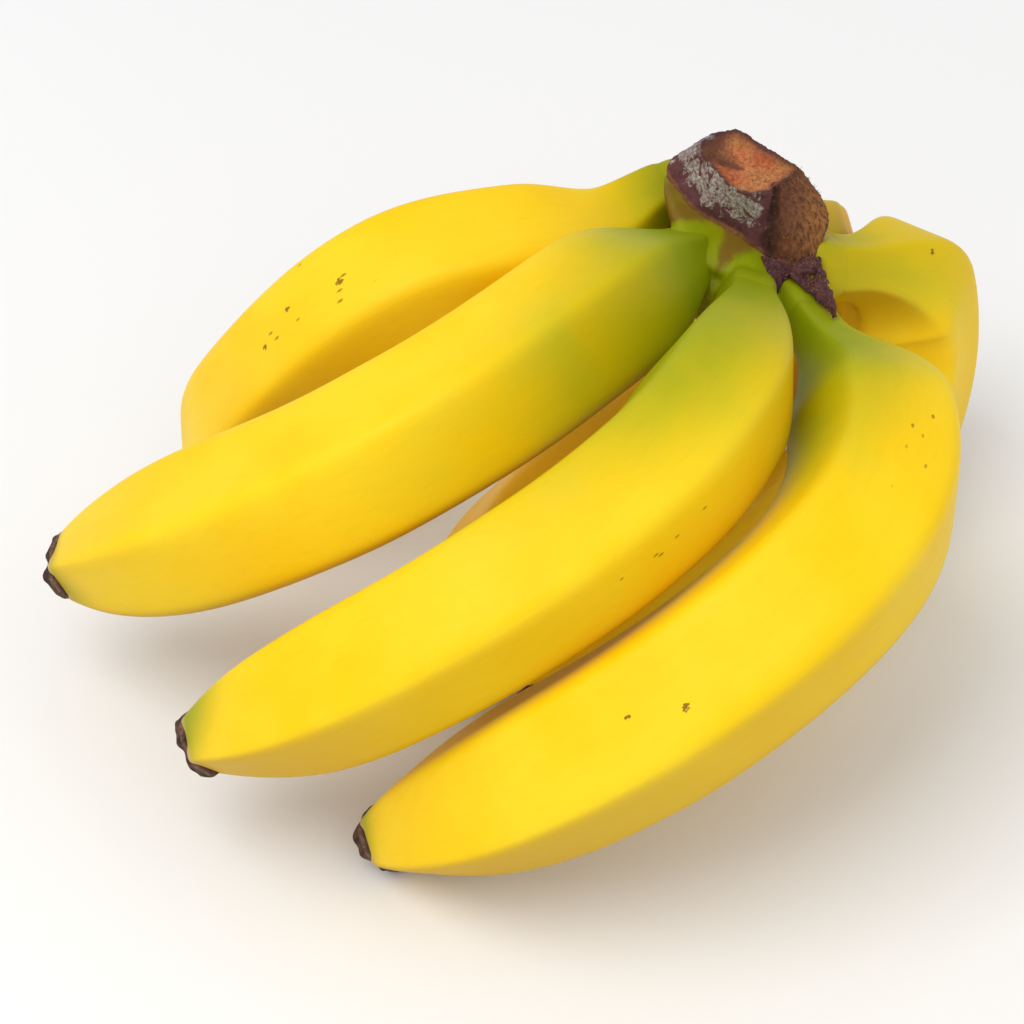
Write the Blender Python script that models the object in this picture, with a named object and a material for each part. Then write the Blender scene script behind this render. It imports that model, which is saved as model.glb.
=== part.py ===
"""A bunch of six bananas on one cut crown, lying on its fingers with the crown up.

Millimetres in the tables below are turned into metres by MM. The frame has +Z up
and +X to the right. The finished bunch is moved so that the middle of its
underside box is the origin.
"""

from dataclasses import dataclass
from math import cos, radians, sin, tau

import bmesh
import bpy
import numpy as np
from mathutils import Vector

MM = 0.001

# Gap between neighbouring solids
GAP = 0.3 * MM

# A banana's skin has five ridges, and this many rings of points along its length
RIDGES = 5
SIDES = 20
RINGS = 32
NECK_RINGS = 6

# Steps of the exact middle line: in each stretch between guide points, and in all
STRETCH_STEPS = 120
LINE_STEPS = 240

# Roundness of the five-sided section: a higher power is flatter between the ridges
BELLY_POWER = 9.0
END_POWER = 15.0
MEAN_SAMPLES = 60

# Where the belly is widest as a share of the length, and how much of the girth is lost by the tip
BELLY_MIDDLE = 0.52
BELLY_DROP = 0.08

# Share of the full girth left at the dried tip, and where the taper towards it starts
TIP_SHARE = 0.31
TAPER_START = 0.72
TAPER_POWER = 2.5

# Extra share of the girth where a neck spreads into the crown, and how far it reaches
ROOT_FLARE = 0.16
ROOT_REACH = 0.12

# How far the middle of an end stands out of its rim
SEAT_DOME = 0.3 * MM
TIP_DOME = 0.2 * MM

# The dried blossom end on each tip, and its discs: share of its length and of its radius
STUB_LENGTH = 5.0 * MM
STUB_RADIUS = 5.4 * MM
STUB_LUMPS = 3
STUB_LUMP_HEIGHT = 0.16
STUB_SIDES = 15
STUB_DOME = 0.3 * MM
STUB_PROFILE = ((0.0, 0.92), (0.35, 1.0), (0.75, 0.96), (1.0, 0.72))

# Points below the table are pressed flat onto it
TABLE = 0.0

# How far a neck stub of the crown runs along its banana before the socket cuts it,
# and the air that the socket leaves round a banana
NECK_OVERLAP = 3.0 * MM
SOCKET_AIR = 1.2 * GAP

# Edges sharper than this stay sharp
SHARP_ANGLE = radians(50)

# The voxel size with which the crown's masses grow together, and the share of triangles kept
CROWN_GRAIN = 1.0 * MM
CROWN_SHARE = 0.2

# Corners closer together than this are one corner
LEAST_EDGE = 0.02 * MM


@dataclass(frozen=True)
class Banana:
    """One banana, by its middle line and its girth.

    Attributes:
        guide: points of the middle line in mm, from the seat in the crown to the tip.
        girth: widest diameter in mm.
        neck: neck diameter as a share of the girth.
        neck_end: share of the length at which the neck starts to widen.
        shoulder: share of the length that the widening takes.
        start: share of the length at which the banana leaves the crown.
        ridge_turn: degrees from the top of the neck to the first ridge.
    """

    guide: tuple
    girth: float
    neck: float
    neck_end: float
    shoulder: float
    start: float
    ridge_turn: float


BANANAS = (
    Banana(((50, 70, 77.5), (36.1, 69.1, 79.8), (22.2, 59.8, 75.7), (-20.2, 38.1, 77.7),
            (-54, 38.5, 44.6), (-71, 65, 2.6)),
           girth=34.3, neck=0.42, neck_end=0.06, shoulder=0.26, start=0.07, ridge_turn=20),
    Banana(((49, 61, 72.5), (33.4, 38.8, 81), (-18, -17, 82), (-58, -17, 58), (-100, 0, 28)),
           girth=33.8, neck=0.39, neck_end=0.055, shoulder=0.21, start=0.07, ridge_turn=46),
    Banana(((52.5, 46, 73), (48.7, 11, 84.2), (31, -34, 87), (-18, -59, 63), (-67, -50, 24)),
           girth=32.1, neck=0.36, neck_end=0.035, shoulder=0.29, start=0.07, ridge_turn=20),
    Banana(((61, 48, 69), (66.5, 23.2, 74.7), (74.4, -1.3, 75.2), (71.2, -36.4, 75),
            (26, -70, 52), (-29, -58, 3.2)),
           girth=35.0, neck=0.35, neck_end=0.115, shoulder=0.15, start=0.07, ridge_turn=20),
    Banana(((62, 48, 75), (76.1, 52.1, 72), (89.3, 64, 58), (92.5, 63, 39), (53, 5, 16.2), (4, -44, 24)),
           girth=33.4, neck=0.40, neck_end=0.065, shoulder=0.14, start=0.07, ridge_turn=20),
    Banana(((64, 60, 76), (73.6, 81, 58.6), (62, 79, 33), (40, 60, 20), (6, 22, 18), (-12, -26, 24)),
           girth=32.6, neck=0.38, neck_end=0.10, shoulder=0.22, start=0.09, ridge_turn=20),
)

# The crown's masses: corners round each of their levels in mm, lowest level first. The corners
# run from the left of the back, by the front, where the crease and the flap are.
# First the dried block.
BLOCK_LEVELS = (
    ((42, 62, 76), (43, 56, 75), (47, 51, 75), (51, 47, 75), (55, 43, 75), (58, 40, 74),
     (62, 39, 74), (65, 42, 75), (65, 50, 76), (62, 58, 76), (56, 64, 76), (48, 67, 76)),
    ((35, 63, 91), (37, 58.5, 88), (40.6, 54.1, 86), (45, 51.5, 84), (50, 48.5, 83), (54.7, 45.6, 81),
     (60, 42, 78), (66, 43, 79), (69, 52, 82), (66, 61, 84), (58, 68, 86), (44, 70, 90)),
    ((37.4, 62.5, 95.5), (39.6, 58.5, 93), (42.6, 53.6, 91.5), (47, 50.5, 90.5), (51.5, 47.8, 90),
     (55.2, 46.5, 89), (61, 43.5, 87), (69.2, 50, 87.5), (69, 56, 88), (65, 62, 90), (57, 67, 93),
     (45, 68.5, 95.5)),
    ((40.8, 61, 99), (42.2, 57.6, 98.5), (44.5, 54.5, 98), (47.5, 50, 96.5), (51, 47.5, 96.3),
     (56.3, 47.2, 96.8), (60, 51, 97), (63.3, 56.2, 96.5), (60.5, 57.6, 98), (56, 59.5, 99.5),
     (50.3, 62.6, 102), (45.8, 62.8, 101.4)),
)

# Then the green cushion that the necks grow from
CUSHION_LEVELS = (
    ((44, 60, 68), (44, 57, 68), (46, 54, 67), (48, 51, 67), (51, 49, 67), (55, 48, 66),
     (60, 47, 66), (63, 48, 66), (63, 53, 66), (60, 58, 67), (56, 61, 67), (48, 63, 68)),
    ((38, 62, 76), (38, 57, 74), (41, 51, 72), (44.5, 46.5, 71), (49, 43, 70), (54.5, 41.5, 70),
     (60, 41.5, 69), (65, 43, 69), (67.5, 52, 71), (64, 61, 72), (56, 67, 73), (44, 70, 76)),
    ((34.6, 62, 88), (34.7, 54.6, 86.4), (37.5, 46.2, 84.3), (40.9, 41, 82.4), (47.2, 37.8, 81),
     (53.9, 37.2, 79.6), (60, 41.5, 75), (65.5, 43.5, 75), (68.5, 52, 78), (66, 62, 80), (57, 69, 82),
     (43, 71, 86)),
    ((34.9, 63.2, 91), (37, 58.2, 88.5), (40.4, 53.8, 86.5), (45, 50.8, 84.5), (50, 47.8, 83.4),
     (54.7, 45.4, 81.5), (60, 43.5, 78), (65.5, 45, 79), (68, 52, 81), (65.5, 61, 83), (57.5, 67.5, 85.5),
     (44, 69.5, 89.5)),
    ((40, 62, 91), (41, 59, 89), (44, 56, 87), (47, 54, 85), (51, 52, 84), (55, 50, 82),
     (59, 49, 80), (63, 50, 80), (64, 53, 82), (62, 59, 84), (56, 63, 86), (46, 66, 90)),
)

# And the torn flap of dried skin over the front neck, from its tip to its root in the block
FLAP_LEVELS = (
    ((68.2, 19.5, 84.6), (69.6, 19.5, 84.6), (69.8, 20.5, 83.2), (68, 20.5, 83.2)),
    ((62.5, 31, 82.8), (70.5, 31, 83.4), (70, 33, 79), (63, 33, 78)),
    ((57, 41, 82), (68.6, 41, 84), (68, 44, 76), (57.5, 44, 76)),
    ((57, 46, 84), (66, 48, 86), (65, 50, 76), (58, 49, 76)),
)

# Linear colours of the peel, the dried blossom ends and the crown
PEEL_COLOUR = (0.88, 0.62, 0.05)
BLOSSOM_COLOUR = (0.06, 0.03, 0.02)
CROWN_COLOUR = (0.22, 0.12, 0.07)


def spline_through(points, count):
    """Points evenly spaced along a smooth curve through the guide points, and its length."""
    guide = np.array(points, float) * MM
    chord = np.concatenate([[0.0], np.cumsum(np.linalg.norm(np.diff(guide, axis=0), axis=1))])
    step = np.diff(chord)
    last = len(guide) - 1
    matrix = np.zeros((last + 1, last + 1))
    right = np.zeros((last + 1, 3))
    matrix[0, 0] = 1.0
    matrix[last, last] = 1.0
    for i in range(1, last):
        matrix[i, i - 1:i + 2] = (step[i - 1], 2 * (step[i - 1] + step[i]), step[i])
        ahead = (guide[i + 1] - guide[i]) / step[i]
        behind = (guide[i] - guide[i - 1]) / step[i - 1]
        right[i] = 6 * (ahead - behind)
    bend = np.linalg.solve(matrix, right)

    fine = []
    for i in range(last):
        for s in np.linspace(0, step[i], STRETCH_STEPS, endpoint=i == last - 1):
            back = step[i] - s
            fine.append((bend[i] * back**3 + bend[i + 1] * s**3) / (6 * step[i])
                        + (guide[i] / step[i] - bend[i] * step[i] / 6) * back
                        + (guide[i + 1] / step[i] - bend[i + 1] * step[i] / 6) * s)
    fine = np.array(fine)
    run = np.concatenate([[0.0], np.cumsum(np.linalg.norm(np.diff(fine, axis=0), axis=1))])
    wanted = np.linspace(0, run[-1], count)
    line = np.stack([np.interp(wanted, run, fine[:, axis]) for axis in range(3)], axis=1)
    return line, run[-1]


def length_of(banana):
    """Length of the banana's middle line."""
    return spline_through(banana.guide, 2)[1]


def smooth_step(value):
    """Ease from 0 to 1."""
    value = min(max(value, 0.0), 1.0)
    return value * value * (3 - 2 * value)


def girth_share(banana, share):
    """Share of the widest radius at a share of the length."""
    root = ROOT_FLARE * max(0.0, 1.0 - share / ROOT_REACH) ** 2
    rise = smooth_step((share - banana.neck_end) / banana.shoulder)
    belly = 1.0 - BELLY_DROP * ((share - BELLY_MIDDLE) / (1 - BELLY_MIDDLE)) ** 2
    taper = max(0.0, (share - TAPER_START) / (1 - TAPER_START))
    fall = 1.0 - (1.0 - TIP_SHARE / (1 - BELLY_DROP)) * taper**TAPER_POWER
    return (banana.neck + root + (belly - banana.neck) * rise) * fall


def section_share(angle, ridge_angle, power):
    """Radius share of the rounded five-sided section in one direction."""
    total = 0.0
    for side in range(RIDGES):
        normal = ridge_angle + (side + 0.5) * tau / RIDGES
        total += max(0.0, cos(angle - normal)) ** power
    return total ** (-1 / power)


def frames_along(line):
    """Direction, upward side and right side at each point, turned as little as possible."""
    ahead = np.gradient(line, axis=0)
    ahead /= np.linalg.norm(ahead, axis=1)[:, None]
    up = np.array((0.0, 0.0, 1.0)) - ahead[0] * ahead[0][2]
    up /= np.linalg.norm(up)
    frames = []
    for direction in ahead:
        up = up - direction * up.dot(direction)
        up /= np.linalg.norm(up)
        frames.append((direction, up, np.cross(direction, up)))
    return frames


def banana_rings(banana, start, stop, rings, extra):
    """Rings of points round the banana between two shares of its length."""
    line, _ = spline_through(banana.guide, LINE_STEPS + 1)
    frames = frames_along(line)
    mean = section_mean(BELLY_POWER)
    result = []
    for i in range(rings):
        share = start + (stop - start) * i / (rings - 1)
        at = share * LINE_STEPS
        low = min(int(at), LINE_STEPS - 1)
        mix = at - low
        centre = line[low] * (1 - mix) + line[low + 1] * mix
        frame = frames[low] if mix < 0.5 else frames[low + 1]
        power = BELLY_POWER + (END_POWER - BELLY_POWER) * abs(2 * share - 1) ** 3
        radius = banana.girth / 2 * MM * girth_share(banana, share)
        ring = []
        for side in range(SIDES):
            angle = side * tau / SIDES + radians(banana.ridge_turn)
            spread = radius * section_share(angle, radians(banana.ridge_turn), power) / mean + extra
            point = centre + spread * (cos(angle) * frame[1] + sin(angle) * frame[2])
            ring.append(Vector(point))
        result.append(ring)
    return result


def section_mean(power):
    """Mean radius share of the five-sided section."""
    angles = [i * tau / MEAN_SAMPLES for i in range(MEAN_SAMPLES)]
    return sum(section_share(angle, 0, power) for angle in angles) / MEAN_SAMPLES


def loft(name, rings, dome_start, dome_stop):
    """Closed body through the rings, each end closed by a fan to a raised middle point."""
    mesh = bpy.data.meshes.new(name)
    bm = bmesh.new()
    loops = [[bm.verts.new(point) for point in ring] for ring in rings]
    count = len(rings[0])
    for first, second in zip(loops, loops[1:]):
        for i in range(count):
            j = (i + 1) % count
            bm.faces.new((first[i], first[j], second[j], second[i]))
    for loop, ring, inner, dome in ((loops[0], rings[0], rings[1], dome_start),
                                    (loops[-1], rings[-1], rings[-2], dome_stop)):
        middle = sum(ring, Vector()) / count
        away = (middle - sum(inner, Vector()) / count).normalized()
        cap = bm.verts.new(middle + away * dome)
        for i in range(count):
            bm.faces.new((loop[i], loop[(i + 1) % count], cap))
    bmesh.ops.recalc_face_normals(bm, faces=bm.faces)
    bm.to_mesh(mesh)
    bm.free()
    piece = bpy.data.objects.new(name, mesh)
    bpy.context.collection.objects.link(piece)
    return piece


def flatten_on_table(piece):
    """Press flat what would reach below the table."""
    for vertex in piece.data.vertices:
        vertex.co.z = max(vertex.co.z, TABLE)


def add_material(piece, name, colour, roughness):
    """Give the piece its own material."""
    material = bpy.data.materials.new(name)
    material.use_nodes = True
    shader = material.node_tree.nodes["Principled BSDF"]
    shader.inputs["Base Color"].default_value = (*colour, 1.0)
    shader.inputs["Roughness"].default_value = roughness
    shader.inputs["Metallic"].default_value = 0.0
    piece.data.materials.append(material)


def shade_round(piece):
    """Shade the piece smooth, keeping sharp edges."""
    piece.data.shade_smooth()
    piece.data.set_sharp_from_angle(angle=SHARP_ANGLE)


def stop_share(banana):
    """Share of the length at which the skin ends and the dried blossom end begins."""
    return 1.0 - STUB_LENGTH / length_of(banana)


def build_banana(number, banana):
    """One banana from its seat in the crown to its blossom end."""
    rings = banana_rings(banana, banana.start, stop_share(banana), RINGS, 0.0)
    piece = loft(f"banana_{number}", rings, SEAT_DOME, TIP_DOME)
    flatten_on_table(piece)
    add_material(piece, f"peel_{number}", PEEL_COLOUR, 0.45)
    shade_round(piece)
    return piece


def build_blossom_end(number, banana):
    """The dark dried flower base on a banana's tip, a lumpy short disc."""
    first = stop_share(banana) + 2 * GAP / length_of(banana)
    rings = banana_rings(banana, first, 1.0, 2, 0.0)
    middles = [sum(ring, Vector()) / len(ring) for ring in rings]
    along = (middles[1] - middles[0]).normalized()
    side = (rings[0][0] - middles[0]).normalized()
    across = along.cross(side)
    discs = []
    for out, share in STUB_PROFILE:
        disc = []
        for i in range(STUB_SIDES):
            angle = i * tau / STUB_SIDES
            lump = 1 + STUB_LUMP_HEIGHT * abs(sin(STUB_LUMPS * angle / 2)) * share
            spread = STUB_RADIUS * share * lump / (1 + STUB_LUMP_HEIGHT)
            disc.append(middles[0] + along * out * STUB_LENGTH
                        + spread * (cos(angle) * side + sin(angle) * across))
        discs.append(disc)
    piece = loft(f"blossom_end_{number}", discs, 0.0, STUB_DOME)
    flatten_on_table(piece)
    add_material(piece, f"dried_blossom_{number}", BLOSSOM_COLOUR, 0.9)
    shade_round(piece)
    return piece


def neck_stub(number, banana):
    """The part of a banana's neck that belongs to the crown, a little too long."""
    stop = banana.start + NECK_OVERLAP / length_of(banana)
    rings = banana_rings(banana, 0.0, stop, NECK_RINGS, 0.0)
    return loft(f"neck_stub_{number}", rings, 0.0, 0.0)


def socket(number, banana):
    """A banana with a skin of air round it, which cuts the crown clear of it."""
    rings = banana_rings(banana, banana.start, stop_share(banana), RINGS, SOCKET_AIR)
    inner = sum(rings[1], Vector()) / SIDES - sum(rings[0], Vector()) / SIDES
    rings[0] = [point - inner.normalized() * 2 * GAP for point in rings[0]]
    return loft(f"socket_{number}", rings, SEAT_DOME, 0.0)


def mass(name, levels):
    """A body through levels of corners in mm."""
    return loft(name, [[Vector(corner) * MM for corner in level] for level in levels], 0.0, 0.0)


def combine(piece, others, operation):
    """Join the others to the piece, or cut them from it, one by one, and remove them."""
    for other in others:
        boolean = piece.modifiers.new("combine", "BOOLEAN")
        boolean.operation = operation
        boolean.object = other
        boolean.solver = "EXACT"
        depsgraph = bpy.context.evaluated_depsgraph_get()
        piece.data = bpy.data.meshes.new_from_object(piece.evaluated_get(depsgraph))
        piece.modifiers.clear()
        bpy.data.objects.remove(other)


def melt_together(piece, others):
    """Grow the piece and the others into one even skin, and thin its triangles out."""
    bodies = bmesh.new()
    for body in [piece] + others:
        bodies.from_mesh(body.data)
    bmesh.ops.triangulate(bodies, faces=bodies.faces)
    bodies.to_mesh(piece.data)
    bodies.free()
    for other in others:
        bpy.data.objects.remove(other)
    skin = piece.modifiers.new("skin", "REMESH")
    skin.mode = "VOXEL"
    skin.voxel_size = CROWN_GRAIN
    thin = piece.modifiers.new("thin", "DECIMATE")
    thin.ratio = CROWN_SHARE
    depsgraph = bpy.context.evaluated_depsgraph_get()
    piece.data = bpy.data.meshes.new_from_object(piece.evaluated_get(depsgraph))
    piece.modifiers.clear()


def clean_slivers(piece):
    """Merge the corners that a cut left closer together than the least edge, and close up the faces."""
    body = bmesh.new()
    body.from_mesh(piece.data)
    bmesh.ops.triangulate(body, faces=body.faces)
    bmesh.ops.remove_doubles(body, verts=body.verts, dist=LEAST_EDGE)
    for _ in range(2):
        bmesh.ops.dissolve_degenerate(body, edges=body.edges, dist=LEAST_EDGE)
        bmesh.ops.triangulate(body, faces=body.faces)
    body.to_mesh(piece.data)
    body.free()


def build_crown():
    """The crown: dried block, cushion and six neck stubs in one body, with a socket for each banana."""
    crown = mass("crown", BLOCK_LEVELS)
    numbered = list(enumerate(BANANAS, 1))
    others = [mass("cushion", CUSHION_LEVELS), mass("flap", FLAP_LEVELS)]
    melt_together(crown, others + [neck_stub(n, banana) for n, banana in numbered])
    combine(crown, [socket(n, banana) for n, banana in numbered], "DIFFERENCE")
    clean_slivers(crown)
    crown.data.materials.clear()
    add_material(crown, "crown_skin", CROWN_COLOUR, 0.8)
    shade_round(crown)
    return crown


def stand_at_origin(pieces):
    """Move all pieces so that the middle of their box's underside is the origin."""
    corners = np.array([vertex.co for piece in pieces for vertex in piece.data.vertices])
    middle = (corners.min(axis=0) + corners.max(axis=0)) / 2
    for piece in pieces:
        for vertex in piece.data.vertices:
            vertex.co.x -= middle[0]
            vertex.co.y -= middle[1]


def main():
    """Build the bunch."""
    for item in list(bpy.data.objects):
        bpy.data.objects.remove(item)
    pieces = [build_crown()]
    for number, banana in enumerate(BANANAS, 1):
        pieces.append(build_banana(number, banana))
        pieces.append(build_blossom_end(number, banana))
    stand_at_origin(pieces)


main()
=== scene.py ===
"""Looks of a bunch of six bananas on one cut crown, lying crown up on a pale floor.

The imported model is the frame. Each banana's skin, the crown's green cushion, its dried cut and the
blossom ends are built here as fine meshes round the same middle lines, and they stand for the
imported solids. Lengths are in metres unless a name says otherwise; MM turns millimetres into metres.
"""

import logging
import math
from dataclasses import dataclass, field
from enum import Enum

import bmesh
import bpy
import numpy as np
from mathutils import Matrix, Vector, noise
from mathutils.kdtree import KDTree


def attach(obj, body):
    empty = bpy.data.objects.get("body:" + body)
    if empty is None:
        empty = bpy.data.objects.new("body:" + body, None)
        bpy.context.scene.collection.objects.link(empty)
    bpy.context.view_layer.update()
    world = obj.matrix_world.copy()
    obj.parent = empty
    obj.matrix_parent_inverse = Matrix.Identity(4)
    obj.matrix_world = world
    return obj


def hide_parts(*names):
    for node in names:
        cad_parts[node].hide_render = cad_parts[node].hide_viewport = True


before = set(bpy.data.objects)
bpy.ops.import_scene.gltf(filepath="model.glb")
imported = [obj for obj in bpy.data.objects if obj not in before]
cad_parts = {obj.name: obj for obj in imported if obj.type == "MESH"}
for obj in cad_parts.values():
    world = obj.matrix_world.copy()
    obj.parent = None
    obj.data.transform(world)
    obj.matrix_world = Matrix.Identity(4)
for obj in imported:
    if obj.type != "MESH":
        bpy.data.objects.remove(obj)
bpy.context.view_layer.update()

LOG = logging.getLogger("bananas")

MM = 0.001
ROOT = "root"

# The guide points below are measured from here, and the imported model's origin lies this far from it
GUIDE_ORIGIN = np.array((3.569, 2.6104, 0.0)) * MM


class Slot(Enum):
    """The record's material slots."""

    PEEL = "peel"
    CROWN = "crown_skin"
    BLOSSOM = "dried_blossom"


# Small helpers for shapes


def ease(value: np.ndarray | float) -> np.ndarray | float:
    """Ease from 0 to 1, flat below 0 and above 1."""
    clipped = np.clip(value, 0.0, 1.0)
    return clipped * clipped * (3 - 2 * clipped)


def bump(value: np.ndarray | float, middle: float, half: float) -> np.ndarray | float:
    """A smooth hump of height 1 round the middle, gone at half to either side."""
    return ease(1 - np.abs(value - middle) / half)


def unit(vectors: np.ndarray) -> np.ndarray:
    """The vectors at length 1."""
    return vectors / np.maximum(np.linalg.norm(vectors, axis=-1, keepdims=True), 1e-12)


def smooth_noise(points: np.ndarray, size: float, seed: float) -> np.ndarray:
    """Smooth noise from -1 to 1 at each point.

    Args:
        points: positions in metres, one a row.
        size: how far apart the noise's humps lie, in metres.
        seed: a shift that makes one noise unlike another.

    Returns:
        One value for each point.
    """
    shifted = points / size + seed
    return np.array([noise.noise(Vector(point)) for point in shifted])


def new_mesh(name: str, points: np.ndarray, faces: list) -> bpy.types.Object:
    """A smooth-shaded mesh object in the scene, with its faces pointing outwards."""
    mesh = bpy.data.meshes.new(name)
    mesh.from_pydata([tuple(point) for point in points], [], faces)
    build = bmesh.new()
    build.from_mesh(mesh)
    bmesh.ops.recalc_face_normals(build, faces=build.faces)
    build.to_mesh(mesh)
    build.free()
    mesh.shade_smooth()
    piece = bpy.data.objects.new(name, mesh)
    bpy.context.scene.collection.objects.link(piece)
    return piece


def loft(name: str, rings: np.ndarray) -> bpy.types.Object:
    """A closed skin through rings of points, each end closed by a fan to its middle.

    Args:
        name: the object's name.
        rings: points by ring and by side.

    Returns:
        The new object; its vertices are the rings' points in order, then the two end middles.
    """
    count, sides = rings.shape[:2]
    points = np.vstack([rings.reshape(-1, 3), rings[0].mean(axis=0), rings[-1].mean(axis=0)])
    faces = []
    for ring in range(count - 1):
        for side in range(sides):
            after = (side + 1) % sides
            start = ring * sides
            faces.append((start + side, start + after, start + sides + after, start + sides + side))
    last = (count - 1) * sides
    for side in range(sides):
        after = (side + 1) % sides
        faces.append((after, side, count * sides))
        faces.append((last + side, last + after, count * sides + 1))
    return new_mesh(name, points, faces)


def set_values(piece: bpy.types.Object, name: str, values: np.ndarray) -> None:
    """Store a value or a vector for each vertex as a named attribute."""
    kind = "FLOAT_VECTOR" if values.ndim == 2 else "FLOAT"
    item = "vector" if values.ndim == 2 else "value"
    attribute = piece.data.attributes.new(name, kind, "POINT")
    attribute.data.foreach_set(item, values.astype(np.float32).ravel())


def points_of(piece: bpy.types.Object) -> np.ndarray:
    """The positions of the mesh's vertices."""
    flat = np.zeros(len(piece.data.vertices) * 3, np.float32)
    piece.data.vertices.foreach_get("co", flat)
    return flat.reshape(-1, 3).astype(float)


def normals_of(piece: bpy.types.Object) -> np.ndarray:
    """The directions in which the mesh's vertices face."""
    flat = np.zeros(len(piece.data.vertices) * 3, np.float32)
    piece.data.vertex_normals.foreach_get("vector", flat)
    return flat.reshape(-1, 3).astype(float)


def move_points(piece: bpy.types.Object, points: np.ndarray) -> None:
    """Put the mesh's vertices at new positions."""
    piece.data.vertices.foreach_set("co", points.astype(np.float32).ravel())
    piece.data.update()


def apply_modifiers(piece: bpy.types.Object) -> None:
    """Turn what the modifiers make into the object's own plain mesh."""
    graph = bpy.context.evaluated_depsgraph_get()
    mesh = bpy.data.meshes.new_from_object(piece.evaluated_get(graph))
    piece.modifiers.clear()
    piece.data = mesh


def join(name: str, pieces: list[bpy.types.Object]) -> bpy.types.Object:
    """One object that holds the meshes of several, which are removed."""
    joined = bmesh.new()
    for piece in pieces:
        joined.from_mesh(piece.data)
        bpy.data.objects.remove(piece)
    mesh = bpy.data.meshes.new(name)
    joined.to_mesh(mesh)
    joined.free()
    result = bpy.data.objects.new(name, mesh)
    bpy.context.scene.collection.objects.link(result)
    return result


def melt(piece: bpy.types.Object, grain: float, rounds: int) -> None:
    """Fuse the object's overlapping bodies into one skin and round its inner corners.

    Args:
        piece: the object, of closed bodies.
        grain: the size of the new faces, in metres.
        rounds: how often the skin is smoothed.
    """
    fuse = piece.modifiers.new("fuse", "REMESH")
    fuse.mode = "VOXEL"
    fuse.voxel_size = grain
    relax = piece.modifiers.new("relax", "SMOOTH")
    relax.factor = 0.5
    relax.iterations = rounds
    apply_modifiers(piece)
    piece.data.shade_smooth()


# The middle lines of the bananas


class MiddleLine:
    """A smooth curve through guide points, with a frame of directions at each step."""

    STEPS = 480

    def __init__(self, guide_mm: tuple) -> None:
        """Fit the curve.

        Args:
            guide_mm: the guide points in millimetres, from the seat in the crown to the tip.
        """
        fine = self._spline(np.array(guide_mm, float) * MM)
        run = np.concatenate([[0.0], np.cumsum(np.linalg.norm(np.diff(fine, axis=0), axis=1))])
        wanted = np.linspace(0, run[-1], self.STEPS + 1)
        self.length: float = float(run[-1])
        self.points = np.stack([np.interp(wanted, run, fine[:, axis]) for axis in range(3)], axis=1)
        self.points -= GUIDE_ORIGIN
        self.ahead = unit(np.gradient(self.points, axis=0))
        self.up = np.zeros_like(self.ahead)
        up = np.array((0.0, 0.0, 1.0))
        for step, direction in enumerate(self.ahead):
            up = unit(up - direction * up.dot(direction))
            self.up[step] = up
        self.side = np.cross(self.ahead, self.up)

    @staticmethod
    def _spline(guide: np.ndarray) -> np.ndarray:
        """Many points of the natural cubic spline through the guide points."""
        chord = np.concatenate([[0.0], np.cumsum(np.linalg.norm(np.diff(guide, axis=0), axis=1))])
        step = np.diff(chord)
        last = len(guide) - 1
        matrix = np.eye(last + 1)
        right = np.zeros((last + 1, 3))
        for i in range(1, last):
            matrix[i, i - 1:i + 2] = (step[i - 1], 2 * (step[i - 1] + step[i]), step[i])
            right[i] = 6 * ((guide[i + 1] - guide[i]) / step[i]
                            - (guide[i] - guide[i - 1]) / step[i - 1])
        bend = np.linalg.solve(matrix, right)
        fine = []
        for i in range(last):
            ahead = np.linspace(0, step[i], 200, endpoint=i == last - 1)[:, None]
            back = step[i] - ahead
            fine.append((bend[i] * back**3 + bend[i + 1] * ahead**3) / (6 * step[i])
                        + (guide[i] / step[i] - bend[i] * step[i] / 6) * back
                        + (guide[i + 1] / step[i] - bend[i + 1] * step[i] / 6) * ahead)
        return np.vstack(fine)

    def at(self, shares: np.ndarray) -> tuple[np.ndarray, np.ndarray, np.ndarray, np.ndarray]:
        """Middle points and directions at shares of the length.

        Args:
            shares: shares of the length, from 0 to 1.

        Returns:
            The middle points, and the directions ahead, up and to the side.
        """
        places = np.clip(shares, 0, 1) * self.STEPS
        steps = np.arange(self.STEPS + 1)
        lines = (self.points, self.ahead, self.up, self.side)
        read = [np.stack([np.interp(places, steps, line[:, axis]) for axis in range(3)], axis=1)
                for line in lines]
        return read[0], unit(read[1]), unit(read[2]), unit(read[3])


# Materials


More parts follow.
